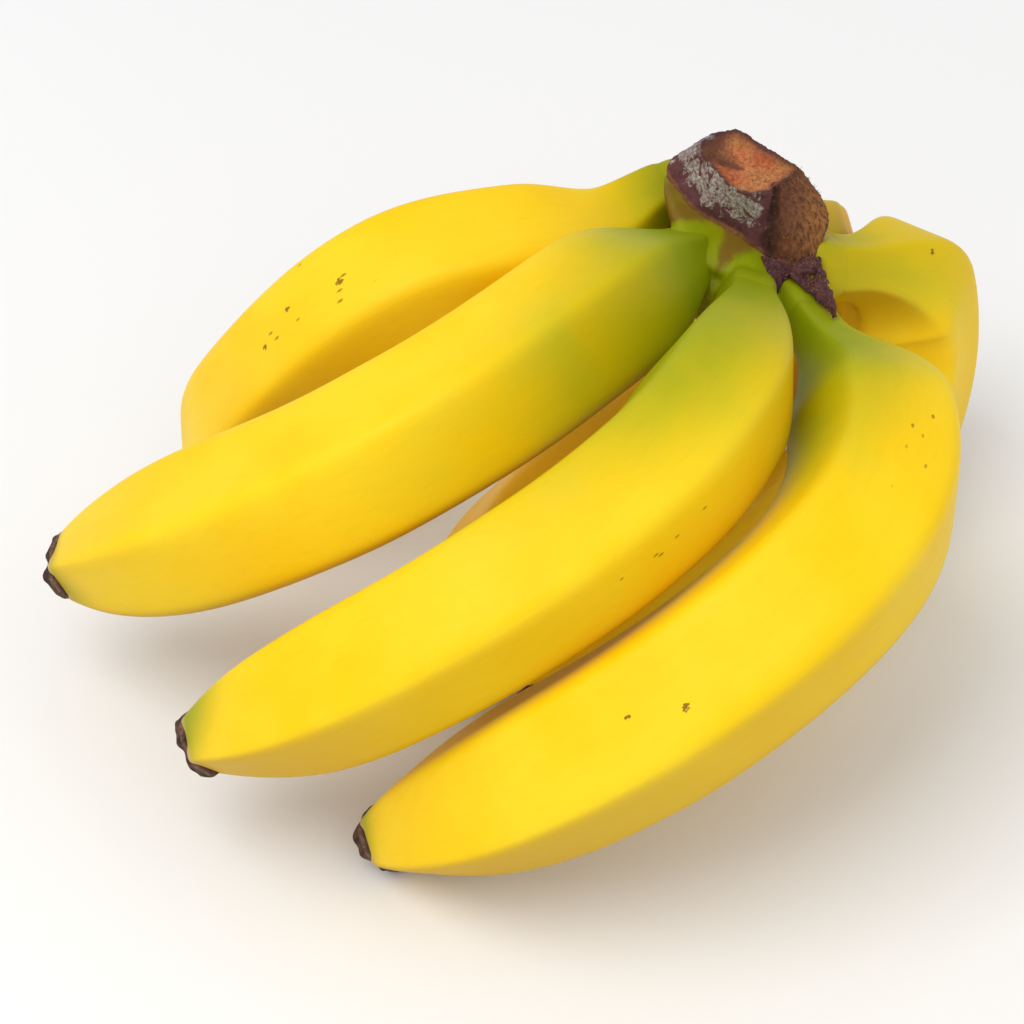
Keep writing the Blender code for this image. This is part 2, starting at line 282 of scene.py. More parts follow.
class Shader:
    """Short calls that add nodes to one material."""

    def __init__(self, name: str) -> None:
        """Make the material.

        Args:
            name: the material's name.
        """
        self.material = bpy.data.materials.new(name)
        self.material.use_nodes = True
        self.tree = self.material.node_tree
        self.surface = self.tree.nodes["Principled BSDF"]

    def add(self, kind: str, **settings: object) -> bpy.types.Node:
        """A new node of a kind, with its settings."""
        node = self.tree.nodes.new(kind)
        for name, value in settings.items():
            setattr(node, name, value)
        return node

    def put(self, value: object, socket: bpy.types.NodeSocket) -> None:
        """Link a socket to the input, or set the input to a number, vector or colour."""
        if isinstance(value, bpy.types.NodeSocket):
            self.tree.links.new(value, socket)
        elif isinstance(value, tuple) and len(value) == 3 and socket.type == "RGBA":
            socket.default_value = (*value, 1.0)
        else:
            socket.default_value = value

    def place(self) -> bpy.types.NodeSocket:
        """The position on the object."""
        return self.add("ShaderNodeTexCoord").outputs["Object"]

    def value(self, name: str) -> bpy.types.NodeSocket:
        """A number stored on the mesh."""
        return self.add("ShaderNodeAttribute", attribute_name=name).outputs["Fac"]

    def vector(self, name: str) -> bpy.types.NodeSocket:
        """A vector stored on the mesh."""
        return self.add("ShaderNodeAttribute", attribute_name=name).outputs["Vector"]

    def stretched(self, vector: bpy.types.NodeSocket, scale: tuple) -> bpy.types.NodeSocket:
        """The vector, scaled along each axis."""
        node = self.add("ShaderNodeMapping")
        self.put(vector, node.inputs["Vector"])
        node.inputs["Scale"].default_value = scale
        return node.outputs["Vector"]

    def noise(self, vector: bpy.types.NodeSocket, size: float, detail: float = 3.0,
              roughness: float = 0.5, warp: float = 0.0) -> bpy.types.NodeSocket:
        """Noise from 0 to 1 whose humps are about the size apart, in metres."""
        node = self.add("ShaderNodeTexNoise")
        self.put(vector, node.inputs["Vector"])
        node.inputs["Scale"].default_value = 1 / size
        node.inputs["Detail"].default_value = detail
        node.inputs["Roughness"].default_value = roughness
        node.inputs["Distortion"].default_value = warp
        return node.outputs["Fac"]

    def cells(self, vector: bpy.types.NodeSocket, size: float) -> bpy.types.Node:
        """Cells of about the size, in metres; the distance runs from each cell's middle."""
        node = self.add("ShaderNodeTexVoronoi")
        self.put(vector, node.inputs["Vector"])
        node.inputs["Scale"].default_value = 1 / size
        return node

    def ramp(self, value: object, low: float, high: float, first: float = 0.0,
             second: float = 1.0) -> bpy.types.NodeSocket:
        """Ease from first to second while the value runs from low to high."""
        node = self.add("ShaderNodeMapRange", interpolation_type="SMOOTHSTEP")
        self.put(value, node.inputs["Value"])
        node.inputs["From Min"].default_value = low
        node.inputs["From Max"].default_value = high
        node.inputs["To Min"].default_value = first
        node.inputs["To Max"].default_value = second
        return node.outputs["Result"]

    def math(self, operation: str, first: object, second: object = 0.0) -> bpy.types.NodeSocket:
        """Arithmetic on two numbers."""
        node = self.add("ShaderNodeMath", operation=operation)
        self.put(first, node.inputs[0])
        self.put(second, node.inputs[1])
        return node.outputs[0]

    def mix(self, share: object, first: object, second: object,
            blend: str = "MIX") -> bpy.types.NodeSocket:
        """A colour between two, by share."""
        node = self.add("ShaderNodeMix", data_type="RGBA", blend_type=blend)
        self.put(share, node.inputs["Factor"])
        self.put(first, node.inputs["A"])
        self.put(second, node.inputs["B"])
        return node.outputs["Result"]

    def relief(self, height: bpy.types.NodeSocket, depth: float, strength: float = 1.0) -> None:
        """Bump the surface by a height from 0 to 1, as deep as stated in metres."""
        node = self.add("ShaderNodeBump")
        node.inputs["Strength"].default_value = strength
        node.inputs["Distance"].default_value = depth
        self.put(height, node.inputs["Height"])
        self.put(node.outputs["Normal"], self.surface.inputs["Normal"])

    def finish(self, colour: object, roughness: object, **fixed: object) -> bpy.types.Material:
        """Connect the colour and roughness, set fixed inputs and give back the material."""
        self.put(colour, self.surface.inputs["Base Color"])
        self.put(roughness, self.surface.inputs["Roughness"])
        for name, value in fixed.items():
            self.surface.inputs[name.replace("_", " ")].default_value = value
        return self.material


def linear(red: float, green: float, blue: float) -> tuple[float, float, float]:
    """A colour as the eye sees it, from 0 to 255, as the linear light that shaders take."""
    def channel(value: float) -> float:
        """One channel of the colour."""
        part = value / 255
        return part / 12.92 if part <= 0.04045 else ((part + 0.055) / 1.055) ** 2.4
    return channel(red), channel(green), channel(blue)


@dataclass(frozen=True)
class PeelFinish:
    """Ripe peel: yellow body, green near the ends, warm where it is ripest, brown specks, and tan painted
    shade on the faces that turn down.

    The crown's cushion wears it too, olive green and bruised brown where its value "cushion" says so.
    """

    yellow: tuple = linear(253, 207, 4)
    pale: tuple = linear(254, 217, 34)
    green: tuple = linear(136, 154, 1)
    olive: tuple = linear(140, 126, 6)
    # tan: painted shade for the faces that turn down, laid on by the value "low"
    tan: tuple = linear(198, 156, 8)
    warm: tuple = linear(236, 172, 30)
    speck: tuple = linear(122, 76, 16)
    rim: tuple = linear(206, 168, 112)
    cushion: tuple = linear(136, 126, 16)
    bruise: tuple = linear(120, 84, 28)
    broad_size: float = 24 * MM
    patch_size: float = 7 * MM
    grain_size: float = 1.1 * MM
    fine_size: float = 0.6 * MM
    freckle_size: float = 2.2 * MM
    bruise_size: float = 3.2 * MM
    stretch: float = 0.22
    depth: float = 0.30 * MM
    roughness: float = 0.48
    specular: float = 0.16
    glow: float = 0.10
    glow_reach: float = 1.2 * MM

    def make(self) -> bpy.types.Material:
        """The peel's material; it reads what Banana and Crown store on their meshes."""
        shader = Shader("peel")
        skin = shader.vector("skin")
        along = shader.stretched(skin, (1, 1, self.stretch))
        broad = shader.noise(skin, self.broad_size, 2)
        patch = shader.noise(along, self.patch_size, 3, 0.55)
        grain = shader.noise(along, self.grain_size, 3, 0.6)
        fine = shader.noise(skin, self.fine_size, 2)
        colour = self.tinted(shader, broad, patch, grain)
        colour = self.spotted(shader, colour, skin, fine)
        colour = self.cushioned(shader, colour)
        rough = shader.ramp(patch, 0.2, 0.8, self.roughness - 0.04, self.roughness + 0.06)
        height = shader.math("ADD", shader.math("MULTIPLY", patch, 0.7), shader.math("MULTIPLY", grain, 0.3))
        shader.relief(height, self.depth, 0.3)
        return shader.finish(colour, rough, Specular_IOR_Level=self.specular, Subsurface_Weight=self.glow,
                             Subsurface_Radius=(1.0, 0.6, 0.10), Subsurface_Scale=self.glow_reach)

    def tinted(self, shader: Shader, broad: object, patch: object, grain: object) -> object:
        """The yellow with its warm, green and olive tints, and the tan painted shade where the skin faces
        down.
        """
        colour = shader.mix(shader.ramp(broad, 0.3, 0.7), self.yellow, self.pale)
        warm = shader.math("MULTIPLY", shader.value("warm"), shader.ramp(patch, 0.2, 0.7, 0.8, 1.0))
        colour = shader.mix(warm, colour, self.warm)
        green = shader.math("ADD", shader.value("green"), shader.ramp(broad, 0.25, 0.75, -0.08, 0.08))
        colour = shader.mix(shader.ramp(green, 0.04, 0.96), colour, self.green)
        # painted shade: tan where the value "low" marks the surface as facing down
        colour = shader.mix(shader.value("low"), colour, self.tan)
        colour = shader.mix(shader.value("olive"), colour, self.olive)
        return shader.mix(shader.ramp(grain, 0.40, 0.80, 0.0, 0.05), colour, self.olive)

    def spotted(self, shader: Shader, colour: object, skin: object, fine: object) -> object:
        """The colour with its freckles, scuffs and the pale rim at the tip."""
        dots = shader.cells(shader.stretched(skin, (1, 1, 0.6)), self.freckle_size)
        freckled = shader.ramp(shader.math("ADD", dots.outputs["Color"], shader.value("freckle")), 0.97, 1.0)
        dot = shader.math("MULTIPLY", shader.ramp(dots.outputs["Distance"], 0.08, 0.22, 0.7, 0.0), freckled)
        colour = shader.mix(dot, colour, self.speck)
        torn = shader.math("ADD", shader.value("mark"), shader.ramp(fine, 0.2, 0.8, -0.28, 0.28))
        colour = shader.mix(shader.ramp(torn, 0.42, 0.62, 0.0, 0.85), colour, self.speck)
        return shader.mix(shader.value("rim"), colour, self.rim)

    def cushioned(self, shader: Shader, colour: object) -> object:
        """The colour, turned olive and bruised on the crown's cushion."""
        place = shader.place()
        patch = shader.noise(place, self.bruise_size, 4, 0.6, 0.4)
        green = shader.mix(shader.ramp(patch, 0.3, 0.7), self.cushion, self.green)
        colour = shader.mix(shader.value("cushion"), colour, green)
        bruised = shader.math("ADD", shader.value("bruise"), shader.ramp(patch, 0.25, 0.75, -0.30, 0.22))
        return shader.mix(shader.ramp(bruised, 0.15, 0.85, 0.0, 0.85), colour, self.bruise)


@dataclass(frozen=True)
class CutFinish:
    """The dried cut: orange-brown top with painted shade near its rim and left end, purple-grey band, brown
    fibrous face, dark edges, with painted shade in the crease beside the right face and along the band's
    foot.
    """

    orange: tuple = linear(196, 106, 66)
    ochre: tuple = linear(200, 142, 86)
    russet: tuple = linear(128, 66, 46)
    purple: tuple = linear(104, 62, 68)
    grey: tuple = linear(184, 180, 172)
    brown: tuple = linear(118, 70, 44)
    gold: tuple = linear(164, 110, 54)
    umber: tuple = linear(78, 48, 40)
    tan: tuple = linear(176, 118, 62)
    dark: tuple = linear(44, 28, 28)

    def make(self) -> bpy.types.Material:
        """The cut's material; it reads the zones that Crown stores on its mesh."""
        shader = Shader("crown_cut")
        place = shader.place()
        broad = shader.noise(place, 6 * MM, 3)
        patch = shader.noise(place, 2.6 * MM, 5, 0.65, 0.6)
        grain = shader.noise(place, 0.7 * MM, 4, 0.7)
        fibre = shader.noise(shader.stretched(place, (1, 1, 0.22)), 0.8 * MM, 4, 0.65, 0.3)

        top = shader.mix(shader.ramp(broad, 0.35, 0.65), self.orange, self.ochre)
        top = shader.mix(shader.ramp(grain, 0.42, 0.62, 0.0, 0.55), top, self.russet)
        top = shader.mix(shader.ramp(patch, 0.55, 0.75, 0.0, 0.6), top, self.russet)
        # painted shade: umber over the top near its rim and at its left end
        top = shader.mix(shader.math("MULTIPLY", shader.value("top_painted_shade"), 0.85), top, self.umber)
        band = shader.mix(shader.ramp(grain, 0.35, 0.7, 0.0, 0.6), self.purple, self.umber)
        mould = shader.math("ADD", shader.value("mould"), shader.ramp(patch, 0.32, 0.68, -0.85, 0.35))
        worn = shader.ramp(grain, 0.35, 0.6, 0.9, 0.25)
        mould = shader.math("MULTIPLY", shader.ramp(mould, 0.25, 0.55), worn)
        band = shader.mix(mould, band, self.grey)
        face = shader.mix(shader.ramp(fibre, 0.3, 0.7), self.umber, self.brown)
        gold = shader.math("MULTIPLY", shader.value("gold"), shader.ramp(fibre, 0.3, 0.62))
        face = shader.mix(gold, face, self.gold)

        colour = shader.mix(shader.value("band"), top, band)
        colour = shader.mix(shader.value("face"), colour, face)
        colour = shader.mix(shader.math("MULTIPLY", shader.value("line"), 0.8), colour, self.tan)
        flap = shader.mix(shader.ramp(fibre, 0.3, 0.7), self.dark, self.purple)
        flap = shader.mix(shader.ramp(patch, 0.5, 0.7, 0.0, 0.5), flap, self.brown)
        colour = shader.mix(shader.value("flap"), colour, flap)
        # the "edge" zone: the dark rim of the top, and painted shade in the crease and along the band's foot
        edge = shader.math("MULTIPLY", shader.value("edge"), shader.ramp(grain, 0.2, 0.8, 0.55, 1.0))
        colour = shader.mix(edge, colour, self.dark)
        height = shader.math("ADD", shader.math("MULTIPLY", patch, 0.5), shader.math("MULTIPLY", fibre, 0.5))
        shader.relief(height, 0.9 * MM, 0.8)
        return shader.finish(colour, 0.85, Specular_IOR_Level=0.25)


@dataclass(frozen=True)
class BlossomFinish:
    """A dried blossom end: dark brown with paler worn ridges."""

    dark: tuple = linear(48, 32, 26)
    brown: tuple = linear(104, 74, 60)
    pale: tuple = linear(158, 124, 98)

    def make(self) -> bpy.types.Material:
        """The dried blossom's material."""
        shader = Shader("dried_blossom")
        place = shader.place()
        patch = shader.noise(place, 2.0 * MM, 4, 0.6, 0.4)
        grain = shader.noise(place, 0.6 * MM, 4, 0.7)
        colour = shader.mix(shader.ramp(patch, 0.3, 0.7), self.dark, self.brown)
        worn = shader.math("MULTIPLY", shader.value("ridge"), shader.ramp(grain, 0.3, 0.7))
        colour = shader.mix(shader.math("MULTIPLY", worn, 0.7), colour, self.pale)
        shader.relief(grain, 0.5 * MM, 0.7)
        return shader.finish(colour, 0.82, Specular_IOR_Level=0.25)


@dataclass(frozen=True)
class FibreFinish:
    """Torn fibres of the cut, tan to brown."""

    tan: tuple = linear(196, 146, 104)
    brown: tuple = linear(112, 72, 44)

    def make(self) -> bpy.types.Material:
        """The fibres' material."""
        shader = Shader("torn_fibre")
        tone = shader.noise(shader.place(), 1.6 * MM, 2)
        colour = shader.mix(shader.ramp(tone, 0.4, 0.65), self.brown, self.tan)
        return shader.finish(colour, 0.8, Specular_IOR_Level=0.2)


# The bananas


@dataclass(frozen=True)
class Mark:
    """A brown speck or scuff on a banana's skin.

    Attributes:
        share: where it lies, as a share of the length.
        angle: where it lies round the banana, in degrees from the frame's upper side.
        size: half its length along the banana, in metres.
        width: its width as a share of its length.
    """

    share: float
    angle: float
    size: float
    width: float = 1.0


@dataclass
class Banana:
    """One banana's skin from its seat in the crown to its blossom end.

    Attributes:
        number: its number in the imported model.
        guide_mm: points of its middle line, from the seat to the tip.
        girth_mm: widest diameter.
        neck: neck diameter as a share of the girth.
        neck_end: share of the length at which the neck starts to widen.
        shoulder: share of the length that the widening takes.
        start: share of the length at which it leaves the crown.
        ridge_turn: degrees from the frame's upper side to the first ridge.
        twist: degrees that the ridges turn along the length.
        neck_green: share of the length that the green of the neck reaches.
        tip_green: share of the length that the green of the tip reaches.
        green_side: degrees round the banana at which the green reaches furthest.
        greenness: how green the neck is, from 0 to 1.
        warmth: how ripe and warm its yellow is, from 0 to 1.
        marks: its specks and scuffs.
        freckles: where small dots gather.
    """

    number: int
    guide_mm: tuple
    girth_mm: float
    neck: float
    neck_end: float
    shoulder: float
    start: float
    ridge_turn: float
    twist: float = 0.0
    neck_green: float = 0.3
    tip_green: float = 0.06
    green_side: float = 180.0
    greenness: float = 1.0
    warmth: float = 0.0
    marks: tuple[Mark, ...] = ()
    freckles: tuple[Mark, ...] = ()
    line: MiddleLine = field(init=False)

    RIDGES = 5
    RINGS = 330
    SIDES = 150
    BELLY_POWER = 12.0
    END_POWER = 17.0
    BELLY_MIDDLE = 0.52
    BELLY_DROP = 0.08
    TIP_SHARE = 0.31
    TAPER_START = 0.72
    TAPER_POWER = 2.5
    ROOT_FLARE = 0.16
    ROOT_REACH = 0.12
    STUB_LENGTH = 5.0 * MM
    SKIN_RADIUS = 16 * MM
    WAVE_SIZE = 26 * MM
    WAVE_HEIGHT = 0.35 * MM
    SUNK_SHARE = 0.035
    SUNK_DEPTH = 1.8 * MM
    BLOSSOM_SIDES = 72
    BLOSSOM_RINGS = 26
    BLOSSOM_STEPS = (0, 0.15, 0.55, 0.75, 0.9, 1.0)
    BLOSSOM_OUT_MM = (-0.6, 0.6, 2.8, 3.6, 2.4, 1.5)
    BLOSSOM_WIDE = (0.99, 1.04, 0.95, 0.74, 0.42, 0.0)
    BLOSSOM_LOBE = 2.2 * MM
    BLOSSOM_GRAIN = 2.2 * MM
    BLOSSOM_ROUGHNESS = 0.55 * MM

    def __post_init__(self) -> None:
        """Fit the middle line."""
        self.line = MiddleLine(self.guide_mm)

    @property
    def stop(self) -> float:
        """Share of the length at which the skin ends and the blossom end begins."""
        return 1 - self.STUB_LENGTH / self.line.length

    def radius(self, shares: np.ndarray) -> np.ndarray:
        """Mean radius at shares of the length."""
        root = self.ROOT_FLARE * np.maximum(0, 1 - shares / self.ROOT_REACH) ** 2
        rise = ease((shares - self.neck_end) / self.shoulder)
        belly = 1 - self.BELLY_DROP * ((shares - self.BELLY_MIDDLE) / (1 - self.BELLY_MIDDLE)) ** 2
        taper = np.maximum(0, (shares - self.TAPER_START) / (1 - self.TAPER_START))
        fall = 1 - (1 - self.TIP_SHARE / (1 - self.BELLY_DROP)) * taper**self.TAPER_POWER
        return self.girth_mm * MM / 2 * (self.neck + root + (belly - self.neck) * rise) * fall

    def section(self, angles: np.ndarray, shares: np.ndarray) -> np.ndarray:
        """Radius share of the rounded five-sided section, by angle and by share of the length."""
        power = self.BELLY_POWER + (self.END_POWER - self.BELLY_POWER) * np.abs(2 * shares - 1) ** 3
        turn = math.radians(self.ridge_turn) + math.radians(self.twist) * (shares - 0.5)
        total = np.zeros(np.broadcast(angles, shares).shape)
        for side in range(self.RIDGES):
            normal = turn + (side + 0.5) * math.tau / self.RIDGES
            total += np.maximum(0, np.cos(angles - normal)) ** power
        share = total ** (-1 / power)
        return share / share.mean(axis=-1, keepdims=True)

    def rings(self, shares: np.ndarray, sides: int, extra: np.ndarray | float = 0.0) -> np.ndarray:
        """Rings of points round the banana.

        Args:
            shares: shares of the length, one for each ring.
            sides: points in each ring.
            extra: metres added to each ring's radius.

        Returns:
            The points by ring and by side.
        """
        angles = np.arange(sides) * math.tau / sides
        middle, _, up, side = self.line.at(shares)
        radii = self.radius(shares)[:, None] * self.section(angles[None, :], shares[:, None])
        radii = radii + np.broadcast_to(extra, shares.shape)[:, None]
        reach = (np.cos(angles)[None, :, None] * up[:, None, :]
                 + np.sin(angles)[None, :, None] * side[:, None, :])
        return middle[:, None, :] + radii[:, :, None] * reach

    def build(self) -> bpy.types.Object:
        """The skin's mesh, with what its material reads stored on it."""
        shares = np.linspace(self.start - 0.01, self.stop + 0.002, self.RINGS)
        sunk = ease((shares - shares[0]) / self.SUNK_SHARE) - 1
        points = self.rings(shares, self.SIDES, sunk * self.SUNK_DEPTH)
        middle = self.line.at(shares)[0]
        away = unit(points - middle[:, None, :])
        wave = smooth_noise(points.reshape(-1, 3), self.WAVE_SIZE, self.number * 7.3)
        points = points + away * wave.reshape(points.shape[:2])[:, :, None] * self.WAVE_HEIGHT
        points[:, :, 2] = np.maximum(points[:, :, 2], 0.0)
        piece = loft(f"banana_skin_{self.number}", points)
        self.store(piece, shares)
        return piece

    def store(self, piece: bpy.types.Object, shares: np.ndarray) -> None:
        """Store the skin's own coordinates, tints and marks on the mesh, and the painted shade of its
        downward faces.

        Args:
            piece: the skin.
            shares: the share of the length of each of its rings.
        """
        angles = np.arange(self.SIDES) * math.tau / self.SIDES
        share = np.append(np.repeat(shares, self.SIDES), (shares[0], shares[-1]))
        angle = np.append(np.tile(angles, self.RINGS), (0.0, 0.0))
        for name, values in self.tints(share, angle).items():
            set_values(piece, name, values)
        # painted shade: "low" darkens the faces that turn down towards the tan
        facing = normals_of(piece)[:, 2]
        set_values(piece, "low", 0.8 * ease((0.25 - facing) / 0.75))

    def tints(self, share: np.ndarray, angle: np.ndarray) -> dict[str, np.ndarray]:
        """What the peel's material reads at places on the skin.

        Args:
            share: shares of the length.
            angle: angles round the banana, in radians.

        Returns:
            The values by their names.
        """
        skin = np.stack([np.cos(angle) * self.SKIN_RADIUS, np.sin(angle) * self.SKIN_RADIUS,
                         share * self.line.length + self.number], axis=1)
        facing = np.cos(angle - math.radians(self.green_side))
        neck = 1 - ease((share - self.start + 0.02) / (self.neck_green * (1 + 0.5 * facing)))
        tip = ease((share - (1 - self.tip_green * (1 + 0.4 * facing))) / (self.tip_green + 0.02))
        return {
            "skin": skin,
            "green": np.clip(self.greenness * neck + 0.85 * tip, 0, 1),
            "olive": 0.25 * bump(share, self.start, 0.10) + 0.35 * ease((share - 0.95) / 0.05),
            "warm": self.warmth * np.ones(len(share)),
            "rim": 0.8 * ease((share - (self.stop - 0.006)) / 0.004),
            "mark": self.spots(self.marks, share, angle),
            "freckle": 0.5 * self.spots(self.freckles, share, angle),
        }

    def spots(self, places: tuple[Mark, ...], share: np.ndarray, angle: np.ndarray) -> np.ndarray:
        """How near each place on the skin lies to one of the marks, from 0 to 1."""
        found = np.zeros(len(share))
        for one in places:
            along = (share - one.share) * self.line.length / one.size
            turn = (angle - math.radians(one.angle) + math.pi) % math.tau - math.pi
            across = turn * self.radius(share) / (one.size * one.width)
            found = np.maximum(found, 1 - np.hypot(along, across) / 2)
        return found

    def locate(self, points: np.ndarray) -> tuple[np.ndarray, np.ndarray, np.ndarray]:
        """Where points lie along and round this banana.

        Args:
            points: positions in metres, one a row.

        Returns:
            Their shares of the length, their angles and their distances outside the skin.
        """
        near = self.line.points[: self.line.STEPS // 3]
        step = np.linalg.norm(points[:, None, :] - near[None, :, :], axis=2).argmin(axis=1)
        away = points - near[step]
        along = np.einsum("ij,ij->i", away, self.line.ahead[step])
        share = step / self.line.STEPS + along / self.line.length
        high = np.einsum("ij,ij->i", away, self.line.up[step])
        wide = np.einsum("ij,ij->i", away, self.line.side[step])
        gap = np.linalg.norm(away, axis=1) - self.radius(np.maximum(share, self.start))
        return share, np.arctan2(wide, high), gap

    def build_blossom_end(self) -> bpy.types.Object:
        """The dark dried flower base on the tip: a ragged cap with lobes round a hollow."""
        sides, rings = self.BLOSSOM_SIDES, self.BLOSSOM_RINGS
        angles = np.arange(sides) * math.tau / sides
        middle, ahead, up, side = (part[0] for part in self.line.at(np.array([self.stop])))
        steps = np.linspace(0, 1, rings)
        tip = float(self.radius(np.array([self.stop]))[0])
        profile_out = np.interp(steps, self.BLOSSOM_STEPS, self.BLOSSOM_OUT_MM) * MM
        profile_wide = np.interp(steps, self.BLOSSOM_STEPS, self.BLOSSOM_WIDE)
        lobes = 0.5 + 0.5 * np.cos(3 * angles + self.number * 1.7)
        small = 0.5 + 0.5 * np.cos(8 * angles + self.number * 2.9)
        ragged = (lobes - 0.5 + 0.35 * (small - 0.5))[None, :] * self.BLOSSOM_LOBE
        out = profile_out[:, None] + steps[:, None] * ragged
        wide = profile_wide[:, None] * tip * (1 + 0.08 * (lobes - 0.5) + 0.05 * (small - 0.5))[None, :]
        reach = np.cos(angles)[:, None] * up + np.sin(angles)[:, None] * side
        points = middle + out[:, :, None] * ahead + wide[:, :, None] * reach[None, :, :]
        flat = points.reshape(-1, 3)
        rough = smooth_noise(flat, self.BLOSSOM_GRAIN, self.number * 3.1).reshape(rings, sides)
        lift = rough * np.sin(np.pi * steps)[:, None] * self.BLOSSOM_ROUGHNESS
        points = points + lift[:, :, None] * unit(points - middle)
        points[:, :, 2] = np.maximum(points[:, :, 2], 0.0)
        piece = loft(f"blossom_cap_{self.number}", points)
        ridge = np.repeat(bump(steps, 0.12, 0.1) + 0.7 * bump(steps, 0.72, 0.15), sides)
        set_values(piece, "ridge", np.append(ridge, (0.0, 0.0)))
        return piece


BANANAS = (
    Banana(1, ((50, 70, 77.5), (36.1, 69.1, 79.8), (22.2, 59.8, 75.7), (-20.2, 38.1, 77.7),
               (-54, 38.5, 44.6), (-71, 65, 2.6)),
           girth_mm=34.3, neck=0.42, neck_end=0.06, shoulder=0.26, start=0.07, ridge_turn=20,
           neck_green=0.24, green_side=270, greenness=0.75, warmth=0.10,
           freckles=(Mark(0.52, 330, 16 * MM, 0.5),),
           marks=(Mark(0.50, 340, 0.8 * MM), Mark(0.56, 350, 0.6 * MM), Mark(0.60, 336, 0.7 * MM))),
    Banana(2, ((49, 61, 72.5), (33.4, 38.8, 81), (-18, -17, 82), (-58, -17, 58), (-100, 0, 28)),
           girth_mm=33.8, neck=0.39, neck_end=0.055, shoulder=0.21, start=0.07, ridge_turn=46,
           neck_green=0.48, tip_green=0.07, green_side=280, greenness=0.9),
    Banana(3, ((52.5, 46, 73), (48.7, 11, 84.2), (31, -34, 87), (-18, -59, 63), (-67, -50, 24)),
           girth_mm=32.1, neck=0.36, neck_end=0.035, shoulder=0.29, start=0.07, ridge_turn=20,
           neck_green=0.60, tip_green=0.13, green_side=60, greenness=0.9,
           freckles=(Mark(0.27, 290, 13 * MM, 0.4), Mark(0.47, 285, 9 * MM, 0.5))),
    Banana(4, ((61, 48, 69), (66.5, 23.2, 74.7), (74.4, -1.3, 75.2), (71.2, -36.4, 75),
               (26, -70, 52), (-29, -58, 3.2)),
           girth_mm=35.0, neck=0.35, neck_end=0.115, shoulder=0.15, start=0.07, ridge_turn=20,
           neck_green=0.50, tip_green=0.10, green_side=90, greenness=0.9,
           freckles=(Mark(0.34, 330, 12 * MM, 0.6),),
           marks=(Mark(0.62, 330, 0.8 * MM), Mark(0.66, 345, 0.6 * MM))),
    Banana(5, ((62, 48, 75), (76.1, 52.1, 72), (89.3, 64, 58), (92.5, 63, 39), (53, 5, 16.2), (4, -44, 24)),
           girth_mm=33.4, neck=0.40, neck_end=0.065, shoulder=0.14, start=0.03, ridge_turn=20,
           neck_green=0.30, green_side=0, greenness=0.55, warmth=0.12,
           marks=(Mark(0.19, 20, 0.5 * MM), Mark(0.14, 30, 0.4 * MM, 2.0))),
    Banana(6, ((64, 60, 76), (73.6, 81, 58.6), (62, 79, 33), (40, 60, 20), (6, 22, 18), (-12, -26, 24)),
           girth_mm=32.6, neck=0.38, neck_end=0.10, shoulder=0.22, start=0.09, ridge_turn=20,
           neck_green=0.05, greenness=0.4, warmth=0.6),
)


# The crown


def guided(points_mm: tuple | list) -> np.ndarray:
    """Points given in millimetres from the guide origin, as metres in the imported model's frame."""
    return np.array(points_mm, float) * MM - GUIDE_ORIGIN


def through(points: np.ndarray, count: int, closed: bool) -> np.ndarray:
    """Points along a smooth curve that passes through the given ones.

    Args:
        points: the given points, one a row, or stacks of rows, which all follow the first axis.
        count: how many points come back.
        closed: whether the curve returns to its start.

    Returns:
        The curve's points, first axis first.
    """
    total = len(points)
    places = np.linspace(0, total if closed else total - 1, count, endpoint=not closed)
    base = np.minimum(places.astype(int), total - (1 if closed else 2))
    local = (places - base).reshape(-1, *[1] * (points.ndim - 1))
    picks = [base + shift for shift in (-1, 0, 1, 2)]
    if closed:
        before, start, end, after = (points[pick % total] for pick in picks)
    else:
        before, start, end, after = (points[np.clip(pick, 0, total - 1)] for pick in picks)
    return 0.5 * (2 * start + (end - before) * local
                  + (2 * before - 5 * start + 4 * end - after) * local**2
                  + (3 * start - before - 3 * end + after) * local**3)


